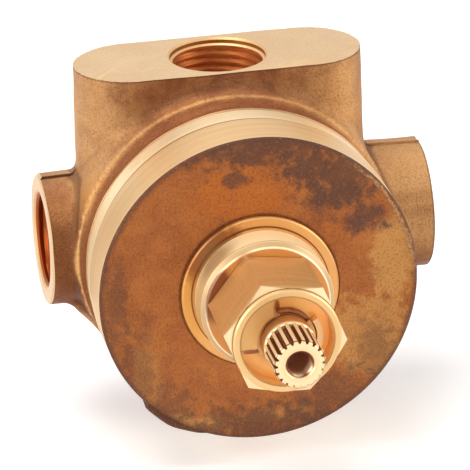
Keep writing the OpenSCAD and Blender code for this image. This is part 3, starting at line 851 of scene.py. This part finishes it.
def disc_face(groups, colours):
    """The disc's face: orange brown skin with ochre, red and dark, purplish tarnish."""
    tree, shader = new_material("disc_face")
    position = object_position(tree)
    zones = place_group(tree, groups["zones"], Position=position)
    grain = place_group(tree, groups["grain"], Position=position, Grain_Size=1900.0,
                        Mottle_Size=150.0)
    stain = place_group(tree, groups["stain"], Position=position, Patch_Size=120.0, Cover=0.43,
                        Softness=0.14)
    radius = zones.outputs["Radius"]
    colour = tree.mix(tree.ramp(grain.outputs["Mottle"], 0.34, 0.66), colours.face,
                      (0.455, 0.152, 0.037))
    y = -FRONT
    colour = add_patches(tree, groups, position, colour, (0.50, 0.145, 0.024), (
        ((-3, y, 63), (11, 5, 6), 0.8),
        ((13, y, 53), (6, 5, 5), 0.5)), 0.4)
    colour = add_patches(tree, groups, position, colour, colours.face_ochre, (
        ((29, y, 44), (4.5, 5, 10), 0.9),
        ((23, y, 27), (9, 5, 9), 0.75),
        ((-13, y, 9.5), (5, 5, 2.2), 0.9),
        ((-19, y, 11.5), (3.5, 5, 1.6), 0.9),
        ((3, y, 10.5), (9, 5, 1.6), 0.5),
        ((-25, y, 22), (3, 5, 8), 0.4)), 0.45)
    colour = add_patches(tree, groups, position, colour, colours.face_stain, (
        ((3, y, 73.5), (19, 5, 4.6), 0.95),
        ((19, y, 65), (10, 5, 5), 0.85),
        ((10.5, y, 67), (6, 5, 3), 0.9),
        ((17.5, y, 60), (7, 5, 3), 1.0),
        ((23, y, 54), (5, 5, 2.8), 1.0),
        ((-4.5, y, 65.5), (2.6, 5, 1.5), 0.8),
        ((14, y, 57), (4, 5, 5), 0.4),
        ((-2, y, 8.5), (16, 5, 4.2), 0.8),
        ((14, y, 14), (8, 5, 6), 0.6),
        ((25, y, 24), (4, 5, 6), 0.5),
        ((-31, y, 40), (2.4, 5, 10), 0.55),
        ((-26.5, y, 23), (3.4, 5, 10), 0.45),
        ((-20, y, 15), (4, 5, 4), 0.6)), 0.95, 0.55)
    colour = tree.mix(tree.math("MULTIPLY", stain.outputs["Mask"], 0.22), colour,
                      colours.face_stain)
    clouds = place_group(tree, groups["stain"], Position=position, Patch_Size=260.0, Cover=0.50,
                         Softness=0.3)
    colour = tree.mix(tree.math("MULTIPLY", clouds.outputs["Mask"], 0.45), colour,
                      (0.22, 0.075, 0.032))
    blooms = place_group(tree, groups["stain"], Position=position, Patch_Size=210.0, Cover=0.40,
                         Softness=0.2)
    colour = tree.mix(tree.math("MULTIPLY", blooms.outputs["Mask"], 0.35), colour,
                      (0.60, 0.24, 0.060))
    rim = tree.math("ADD", radius, tree.math("MULTIPLY", tree.math(
        "SUBTRACT", grain.outputs["Mottle"], 0.5), 3.0))
    colour = tree.mix(tree.ramp(rim, 33.0, 34.4, 0.0, 0.75), colour, colours.face_stain)
    # Painted shade round the headpart's flange
    colour = tree.mix(tree.ramp(radius, 18.0, 17.3, 0.0, 0.2), colour, colours.face_stain)
    colour = tree.mix(tree.ramp(radius, 34.1, 34.35, 0.0, 0.6), colour, (0.09, 0.033, 0.017))
    # Painted highlight along the disc's rim on its upper right
    rim_highlight = tree.math("MULTIPLY", tree.band(rim, 33.55, 34.3, 0.2),
                     tree.ramp(tree.noise(position, 1300.0, 3.0), 0.40, 0.56, 0.1, 0.65))
    colour = add_patches(tree, groups, position, colour, tree.mix(
        rim_highlight, colour, (0.64, 0.36, 0.155)), (((29, y, 56), (11, 5, 14), 1.0),), 0.3, 0.4)
    grit = tree.ramp(grain.outputs["Grain"], 0.52, 0.36)
    specks = tree.math("MAXIMUM", tree.math("MULTIPLY", grit, 0.32),
                       tree.math("MULTIPLY", grain.outputs["Pits"], 0.25))
    colour = tree.mix(specks, colour, (0.08, 0.03, 0.018))
    shine = tree.math("MULTIPLY", tree.ramp(grain.outputs["Grain"], 0.55, 0.72), 0.22)
    colour = tree.mix(shine, colour, (0.70, 0.34, 0.12))
    tree.feed(shader.inputs["Base Color"], colour)
    tree.feed(shader.inputs["Metallic"], 0.5)
    tree.feed(shader.inputs["Specular IOR Level"], 0.25)
    tree.feed(shader.inputs["Roughness"], tree.ramp(grain.outputs["Mottle"], 0.3, 0.7, 0.6,
                                                    0.5))
    tree.feed(shader.inputs["Normal"], bump(tree, grain.outputs["Grain"], 0.00016, 0.8))


def turned_brass(name, groups, base, pale, tarnish, metallic, rough, lines, tarnish_cover,
                 paint_zones=None):
    """Turned brass of the headpart, spindle or rotor, with its own tone and zones."""
    tree, shader = new_material(name)
    position = object_position(tree)
    turning = place_group(tree, groups["turning"], Position=position, Lines=lines)
    stain = place_group(tree, groups["stain"], Position=position, Patch_Size=260.0,
                        Cover=tarnish_cover, Softness=0.25)
    colour = tree.mix(tree.ramp(turning.outputs["Streak"], 0.32, 0.7), base, pale)
    colour = tree.mix(tree.math("MULTIPLY", stain.outputs["Mask"], 0.35), colour, tarnish)
    if paint_zones:
        zones = place_group(tree, groups["zones"], Position=position)
        colour, dull = paint_zones(tree, groups, position, colour, zones.outputs["Radius"],
                                   zones.outputs["Front"])
        metallic = tree.ramp(dull, 0.0, 1.0, metallic, 0.2)
    tree.feed(shader.inputs["Base Color"], colour)
    tree.feed(shader.inputs["Metallic"], metallic)
    tree.feed(shader.inputs["Roughness"], tree.ramp(turning.outputs["Streak"], 0.3, 0.7,
                                                    rough + 0.06, rough - 0.04))
    tree.feed(shader.inputs["Normal"], bump(tree, turning.outputs["Line Height"], 0.00002, 0.45))
    return tree.tree


def paint_zone(tree, colour, paint, *bands):
    """Lays paint over the colour where all the bands of (value, low, high, soft) overlap."""
    mask = tree.band(*bands[0])
    for band in bands[1:]:
        mask = tree.math("MULTIPLY", mask, tree.band(*band))
    return tree.mix(mask, colour, paint)


def headpart_zones(tree, groups, position, colour, radius, front):
    """Orange flange and recess, pale shoulder, tan hexagon, painted highlights on the bevels,
    painted shade in the corners and the recess.
    """
    side = tree.band(front, 41.9, 49.46, 0.05)
    colour = paint_zone(tree, colour, (0.75, 0.375, 0.118), (front, 39, 42, 0.05))
    colour = add_patches(tree, groups, position, colour, (0.70, 0.33, 0.07), (
        ((-15.5, -41.3, 40), (4, 2, 12), 0.9),), 0.2, 0.5)
    colour = add_patches(tree, groups, position, colour, (0.30, 0.085, 0.017), (
        ((-11.5, -41.3, 51.5), (8.0, 2, 7.5), 0.9),), 0.3, 0.4)
    colour = paint_zone(tree, colour, (0.26, 0.075, 0.016), (front, 39, 41.35, 0.02),
                        (radius, 14, 15.2, 0.1))
    colour = paint_zone(tree, colour, (1.0, 0.77, 0.43), (front, 42.0, 49.5, 0.05),
                        (radius, 13.2, 15, 0.1))
    # Painted shade on the shoulder's left side
    colour = add_patches(tree, groups, position, colour, (0.40, 0.22, 0.085), (
        ((-10.5, -45, 50), (4.5, 4, 4.5), 0.85),
        ((-13.5, -46, 40), (3, 4, 9), 0.55)), 0.05, 0.6)
    colour = paint_zone(tree, colour, (0.56, 0.33, 0.13), (front, 47.8, 48.15, 0.06),
                        (radius, 14, 15, 0.1))
    colour = paint_zone(tree, colour, (0.60, 0.38, 0.17), (front, 48.2, 49.46, 0.04),
                        (radius, 13.2, 14.4, 0.06))
    # Painted highlight: a bright ring on the shoulder bevel's inner edge
    colour = paint_zone(tree, colour, (0.96, 0.78, 0.50), (front, 49.0, 49.46, 0.04),
                        (radius, 13.2, 13.6, 0.06))
    # Painted shade: deep orange on the shoulder's front face round the hexagon's root
    colour = paint_zone(tree, colour, (0.72, 0.32, 0.08), (front, 49.2, 49.46, 0.02),
                        (radius, 10, 13.25, 0.08))
    # Painted shadow: dark red on the left of the shoulder's front face
    colour = add_patches(tree, groups, position, colour, (0.20, 0.045, 0.010), (
        ((-12, -49.4, 45), (4, 0.5, 7), 0.9),), 0.1)
    colour = paint_zone(tree, colour, (0.72, 0.375, 0.13), (front, 49.5, 66.0, 0.04))
    across = tree.node("ShaderNodeVectorMath", {0: position, 1: (4200.0, 110.0, 4200.0)},
                       operation="MULTIPLY")
    cuts = tree.math("MULTIPLY", tree.band(front, 49.5, 66.0, 0.04),
                     tree.ramp(tree.noise(across, 1.0, 3.0), 0.4, 0.8, 0.0, 0.35))
    colour = tree.mix(cuts, colour, (0.50, 0.24, 0.075))
    # Painted shade in the corner at the hexagon's root
    colour = paint_zone(tree, colour, (0.30, 0.11, 0.03), (front, 49.46, 49.75, 0.08),
                        (radius, 10, 12.9, 0.1))
    colour = paint_zone(tree, colour, (0.78, 0.50, 0.215), (front, 66.2, 70, 0.1))
    # Painted highlight: the hexagon's front chamfer is painted bright
    slope = tree.math("ADD", front, tree.math("MULTIPLY", radius, 0.577))
    bevel = tree.math("MULTIPLY", tree.ramp(slope, 73.70, 73.80), tree.band(radius, 11.55, 14.0,
                                                                           0.02))
    colour = tree.mix(tree.math("MULTIPLY", bevel, 0.7), colour, (0.98, 0.76, 0.45))
    colour = paint_zone(tree, colour, (0.42, 0.20, 0.06), (front, 66.95, 67.35, 0.08),
                        (radius, 11.45, 11.6, 0.03))
    colour = paint_zone(tree, colour, (0.68, 0.37, 0.125), (front, 67.75, 68.0, 0.05),
                        (radius, 0, 10.3, 0.1))
    recess = tree.math("MULTIPLY", tree.band(front, 60, 67.75, 0.05),
                       tree.band(radius, 0, 10.3, 0.1))
    colour = tree.mix(recess, colour, (1.0, 0.53, 0.14))
    # Painted shade on the deep walls next to the spindle
    colour = paint_zone(tree, colour, (0.40, 0.14, 0.03), (front, 64.85, 67.5, 0.12),
                        (radius, 0, 6.5, 0.1))
    # Painted shadows along the stop's ends, on its end walls and on the recess floor below them
    colour = add_patches(tree, groups, position, colour, (0.27, 0.07, 0.014), (
        ((-2.4, -66.3, 47.7), (0.8, 1.3, 2.3), 0.8),
        ((-1.3, -64.6, 46.2), (0.55, 0.4, 2.0), 0.9),
        ((-6.8, -64.6, 36.9), (2.2, 0.4, 0.45), 0.9),
        ((-8.0, -67.9, 38.75), (2.1, 0.4, 0.22), 0.8),
        ((-2.4, -67.9, 47.7), (0.4, 0.4, 1.9), 0.6)), 0.05, 0.4)
    # Painted shade round the recess's rim
    lip_shade = tree.math("MULTIPLY", tree.band(front, 67.8, 68.12, 0.05),
                    tree.band(radius, 9.75, 10.1, 0.05))
    colour = tree.mix(tree.math("MULTIPLY", lip_shade, 0.5), colour, (0.36, 0.14, 0.04))
    # Painted shade over the hexagon's upper-left corner and along its lower left flat
    colour = add_patches(tree, groups, position, colour, (0.50, 0.24, 0.075), (
        ((-5, -50.4, 52.3), (2.2, 1.6, 2.2), 0.8),
        ((-12.5, -58, 36), (2.0, 9, 6), 0.5)), 0.05, 0.4)
    colour = paint_zone(tree, colour, (0.88, 0.52, 0.22), (front, 66.75, 67.1, 0.05),
                        (radius, 6.5, 7.9, 0.05))
    return colour, tree.math("MAXIMUM", side, tree.math("MAXIMUM", recess, bevel))


def spindle_zones(tree, groups, position, colour, radius, front):
    """Cream crests, painted shade in the grooves between the spline's teeth, a dark screw hole with
    a painted highlight on its wall.
    """
    # Painted shade in the grooves between the spline's teeth
    colour = paint_zone(tree, colour, (0.20, 0.055, 0.018), (front, 71.3, 80.2, 0.1),
                        (radius, 0, 5.4, 0.05))
    colour = paint_zone(tree, colour, (0.55, 0.25, 0.08), (front, 60, 70.2, 0.1))
    hole = tree.math("MULTIPLY", tree.band(front, 60, 79.6, 0.2),
                     tree.band(radius, 0, 2.7, 0.05))
    colour = tree.mix(hole, colour, (0.62, 0.30, 0.17))
    # Painted highlight on the screw hole's wall near its mouth
    colour = add_patches(tree, groups, position, colour, (0.95, 0.70, 0.44), (
        ((2.0, -78.8, 38.8), (1.2, 1.5, 1.4), 0.7),
        ((-0.4, -79.2, 37.6), (1.2, 1.0, 0.8), 0.7)), 0.1, 0.4)
    return colour, hole


def plain_finish(name, dark, light, scale, metallic, rough, depth):
    """Rubber, fibre, plastic or wire: two tones of fine noise with its own relief."""
    tree, shader = new_material(name)
    position = object_position(tree)
    fine = tree.noise(position, scale, 4.0, 0.6)
    slow = tree.noise(position, scale * 0.14, 3.0)
    tree.feed(shader.inputs["Base Color"], tree.mix(tree.ramp(slow, 0.35, 0.65), dark, light))
    tree.feed(shader.inputs["Metallic"], metallic)
    tree.feed(shader.inputs["Roughness"], tree.ramp(fine, 0.3, 0.7, rough - 0.06, rough + 0.06))
    tree.feed(shader.inputs["Normal"], bump(tree, fine, depth, 0.6))


def paint_node(name, material):
    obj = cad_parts[name]
    obj.data.materials.clear()
    obj.data.materials.append(bpy.data.materials[material])


# Operators

class VALVE_OT_finishes(bpy.types.Operator):
    """Make the materials that all the pieces share"""
    bl_idname = "valve.finishes"
    bl_label = "Make finishes"

    def execute(self, context):
        colours = context.scene.valve_colours
        groups = {"grain": build_grain_group(), "turning": build_turning_group(),
                  "stain": build_stain_group(), "zones": build_zone_group(),
                  "patch": build_patch_group()}
        cast_skin(groups, colours)
        milled_face(groups, colours)
        turned_land(groups, colours)
        disc_face(groups, colours)
        port_thread(groups, colours)
        turned_brass("headpart_brass", groups, (0.84, 0.52, 0.22), (0.92, 0.66, 0.33),
                     (0.66, 0.32, 0.10), 0.55, 0.36, 5200.0, 0.44, headpart_zones)
        turned_brass("spindle_brass_bright", groups, (0.86, 0.60, 0.31), (0.92, 0.70, 0.41),
                     (0.60, 0.34, 0.15), 0.6, 0.36, 6200.0, 0.40, spindle_zones)
        turned_brass("rotor_brass_plain", groups, (0.70, 0.42, 0.17), (0.83, 0.56, 0.27),
                     (0.42, 0.20, 0.08), 0.9, 0.36, 4000.0, 0.48)
        plain_finish("sprung_steel", (0.42, 0.40, 0.38), (0.60, 0.58, 0.56), 1800.0, 0.95, 0.32,
                     0.00001)
        plain_finish("black_rubber", (0.012, 0.012, 0.013), (0.030, 0.030, 0.032), 2400.0, 0.0,
                     0.55, 0.00002)
        plain_finish("red_fibre", (0.34, 0.12, 0.035), (0.48, 0.19, 0.06), 3000.0, 0.0, 0.75,
                     0.00004)
        plain_finish("spring_bronze", (0.52, 0.23, 0.07), (0.70, 0.36, 0.13), 1800.0, 0.7, 0.36,
                     0.00001)
        plain_finish("white_slide_ring", (0.62, 0.60, 0.55), (0.74, 0.72, 0.66), 1500.0, 0.0,
                     0.42, 0.00001)
        return {"FINISHED"}


class VALVE_OT_casting(bpy.types.Operator):
    """Make the cast body with its machined faces, threads and bores"""
    bl_idname = "valve.casting"
    bl_label = "Make casting"

    def execute(self, context):
        settings = context.scene.valve_casting
        casting = raw_casting(settings)
        casting.name = casting.data.name = "cast_body"
        machine(casting)
        mark_crests(casting, settings)
        casting.data.transform(Matrix.Scale(MM, 4))
        smooth_shading(casting.data, 32)
        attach(casting, "valve_body")
        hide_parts("body")
        return {"FINISHED"}


class VALVE_OT_headpart(bpy.types.Operator):
    """Finish the screwed-in headpart: housing, gasket and seals"""
    bl_idname = "valve.headpart"
    bl_label = "Finish headpart"

    def execute(self, context):
        paint_node("headpart_housing", "headpart_brass")
        paint_node("headpart_gasket", "red_fibre")
        paint_node("housing_seal", "black_rubber")
        return {"FINISHED"}


class VALVE_OT_spindle(bpy.types.Operator):
    """Finish the splined spindle with its circlip, washers and seals"""
    bl_idname = "valve.spindle"
    bl_label = "Finish spindle"

    def execute(self, context):
        paint_node("spindle", "spindle_brass_bright")
        paint_node("spindle_circlip", "spring_bronze")
        paint_node("spindle_front_washer", "red_fibre")
        paint_node("spindle_thrust_washer", "white_slide_ring")
        for name in ("spindle_front_seal", "spindle_rear_seal"):
            paint_node(name, "black_rubber")
        return {"FINISHED"}


class VALVE_OT_rotor(bpy.types.Operator):
    """Finish the rotor, its seal and washer, and the sprung seats"""
    bl_idname = "valve.rotor"
    bl_label = "Finish rotor and seats"

    def execute(self, context):
        paint_node("rotor", "rotor_brass_plain")
        paint_node("rotor_seal", "black_rubber")
        paint_node("rotor_washer", "white_slide_ring")
        for side in ("left", "top", "right"):
            paint_node("seat_" + side, "black_rubber")
            paint_node("spring_" + side, "sprung_steel")
        return {"FINISHED"}


class VALVE_OT_stage(bpy.types.Operator):
    """Make the floor, the soft studio lamps and the camera"""
    bl_idname = "valve.stage"
    bl_label = "Make stage"

    def execute(self, context):
        settings = context.scene.valve_stage
        make_floor()
        make_dark_card()
        make_lamps()
        make_world()
        make_camera(settings)
        context.scene.view_settings.view_transform = "Standard"
        return {"FINISHED"}


# Stage

def white_for_camera(tree, colour):
    """White for rays from the camera, glossy rays and transmission rays; colour for the rest."""
    path = tree.node("ShaderNodeLightPath")
    seen = tree.math("MAXIMUM", path.outputs["Is Camera Ray"], path.outputs["Is Glossy Ray"])
    seen = tree.math("MAXIMUM", seen, path.outputs["Is Transmission Ray"])
    return tree.mix(seen, colour, (1.0, 1.0, 1.0))


def make_floor():
    mesh = bpy.data.meshes.new("floor")
    bm = bmesh.new()
    bmesh.ops.create_circle(bm, cap_ends=True, segments=96, radius=1.6)
    bm.to_mesh(mesh)
    bm.free()
    floor = bpy.data.objects.new("floor", mesh)
    floor.location.z = (AXIS_H - INLET_REACH) * MM - 0.0001
    bpy.context.scene.collection.objects.link(floor)
    tree, shader = new_material("pale_floor")
    tree.feed(shader.inputs["Base Color"], (0.80, 0.80, 0.80, 1.0))
    tree.feed(shader.inputs["Roughness"], 0.9)
    tree.feed(shader.inputs["Specular IOR Level"], 0.0)
    tree.feed(shader.inputs["Emission Color"], white_for_camera(tree, (0.0, 0.0, 0.0)))
    tree.feed(shader.inputs["Emission Strength"], 0.4)
    mesh.materials.append(bpy.data.materials["pale_floor"])


def make_dark_card():
    """A dark card round the camera, seen only in reflections, as photographers use for metal."""
    mesh = bpy.data.meshes.new("dark_card")
    bm = bmesh.new()
    bmesh.ops.create_circle(bm, cap_ends=True, segments=48, radius=0.42)
    bm.to_mesh(mesh)
    bm.free()
    card = bpy.data.objects.new("dark_card", mesh)
    spot = Vector((-0.12, -0.62, 0.22))
    card.location = spot
    aim = Vector((0, -0.04, 0.04)) - spot
    card.rotation_euler = aim.to_track_quat("Z", "Y").to_euler()
    card.visible_camera = False
    card.visible_diffuse = False
    bpy.context.scene.collection.objects.link(card)
    tree, shader = new_material("dark_card")
    tree.feed(shader.inputs["Base Color"], (0.05, 0.04, 0.035, 1.0))
    tree.feed(shader.inputs["Roughness"], 0.9)
    tree.feed(shader.inputs["Specular IOR Level"], 0.0)
    mesh.materials.append(bpy.data.materials["dark_card"])


def make_lamp(name, location, target, size, power, colour=(1.0, 1.0, 1.0)):
    data = bpy.data.lights.new(name, "AREA")
    data.shape = "RECTANGLE"
    data.size, data.size_y = size
    data.energy = power
    data.color = colour
    lamp = bpy.data.objects.new(name, data)
    lamp.location = location
    aim = Vector(target) - Vector(location)
    lamp.rotation_euler = aim.to_track_quat("-Z", "Y").to_euler()
    bpy.context.scene.collection.objects.link(lamp)


def make_lamps():
    middle = (0.0, -0.02, 0.04)
    make_lamp("key_lamp", (-0.20, 0.05, 0.85), middle, (0.6, 0.5), 4.6)
    make_lamp("fill_lamp", (0.80, -0.30, 0.30), middle, (0.5, 0.7), 4.0)
    make_lamp("side_lamp", (-0.80, -0.40, 0.35), middle, (0.4, 0.6), 4.0)
    snoot = bpy.data.objects.new("snoot_lamp", bpy.data.lights.new("snoot_lamp", "SPOT"))
    snoot.data.energy = 2.2
    snoot.data.spot_size = math.radians(6)
    snoot.data.spot_blend = 1.0
    snoot.data.shadow_soft_size = 0.02
    snoot.location = (0.03, -0.54, 0.09)
    aim = Vector((0.0, -0.065, 0.04)) - snoot.location
    snoot.rotation_euler = aim.to_track_quat("-Z", "Y").to_euler()
    bpy.context.scene.collection.objects.link(snoot)


def make_world():
    world = bpy.data.worlds.new("studio")
    bpy.context.scene.world = world
    world.use_nodes = True
    world.node_tree.nodes.clear()
    tree = Tree(world.node_tree)
    background = tree.node("ShaderNodeBackground")
    output = tree.node("ShaderNodeOutputWorld")
    tree.tree.links.new(background.outputs["Background"], output.inputs["Surface"])
    tree.feed(background.inputs["Color"], white_for_camera(tree, (0.42, 0.415, 0.41)))
    background.inputs["Strength"].default_value = 1.0


def make_camera(settings):
    """Places the camera by its distance, direction and roll, aimed so as to frame the valve."""
    front = Vector((0, -FRONT * MM, AXIS_H * MM))
    az, el, roll = settings.azimuth, settings.elevation, settings.roll
    back = Vector((math.sin(az) * math.cos(el), -math.cos(az) * math.cos(el), math.sin(el)))
    across = Vector((math.cos(az), math.sin(az), 0))
    up = back.cross(across)
    side = across * math.cos(roll) + up * math.sin(roll)
    up = back.cross(side)
    data = bpy.data.cameras.new("camera")
    data.sensor_width = 36.0
    focal = 4403.0
    data.lens = focal * data.sensor_width / 470.0
    offset = (259.6 - 235.0, 289.9 - 235.0)
    aim = (back * focal + side * offset[0] - up * offset[1]).normalized()
    side = (side - aim * side.dot(aim)).normalized()
    up = aim.cross(side)
    camera = bpy.data.objects.new("camera", data)
    spot = front + back * settings.distance
    camera.matrix_world = Matrix((
        (side.x, up.x, aim.x, spot.x), (side.y, up.y, aim.y, spot.y),
        (side.z, up.z, aim.z, spot.z), (0, 0, 0, 1)))
    data.clip_start, data.clip_end = 0.05, 20
    bpy.context.scene.collection.objects.link(camera)
    bpy.context.scene.camera = camera


class VALVE_PT_panel(bpy.types.Panel):
    """Lists the pieces of the valve and their settings"""
    bl_label = "Four-way valve"
    bl_idname = "VALVE_PT_panel"
    bl_space_type = "VIEW_3D"
    bl_region_type = "UI"
    bl_category = "Valve"

    def draw(self, context):
        column = self.layout.column()
        for operator in OPERATORS:
            column.operator(operator.bl_idname)
        scene = context.scene
        for group in (scene.valve_casting, scene.valve_colours, scene.valve_stage):
            for name in group.bl_rna.properties.keys():
                if name not in ("rna_type", "name"):
                    column.prop(group, name)


OPERATORS = (VALVE_OT_finishes, VALVE_OT_casting, VALVE_OT_headpart, VALVE_OT_spindle,
             VALVE_OT_rotor, VALVE_OT_stage)
GROUPS = {"valve_casting": ValveCasting, "valve_colours": ValveColours,
          "valve_stage": ValveStage}


def register():
    for group in GROUPS.values():
        bpy.utils.register_class(group)
    for operator in OPERATORS:
        bpy.utils.register_class(operator)
    bpy.utils.register_class(VALVE_PT_panel)
    for name, group in GROUPS.items():
        setattr(bpy.types.Scene, name, PointerProperty(type=group))


def unregister():
    for name in GROUPS:
        delattr(bpy.types.Scene, name)
    bpy.utils.unregister_class(VALVE_PT_panel)
    for operator in reversed(OPERATORS):
        bpy.utils.unregister_class(operator)
    for group in reversed(list(GROUPS.values())):
        bpy.utils.unregister_class(group)


def main():
    register()
    bpy.ops.valve.finishes()
    bpy.ops.valve.casting()
    bpy.ops.valve.headpart()
    bpy.ops.valve.spindle()
    bpy.ops.valve.rotor()
    bpy.ops.valve.stage()


if __name__ == "__main__":
    main()
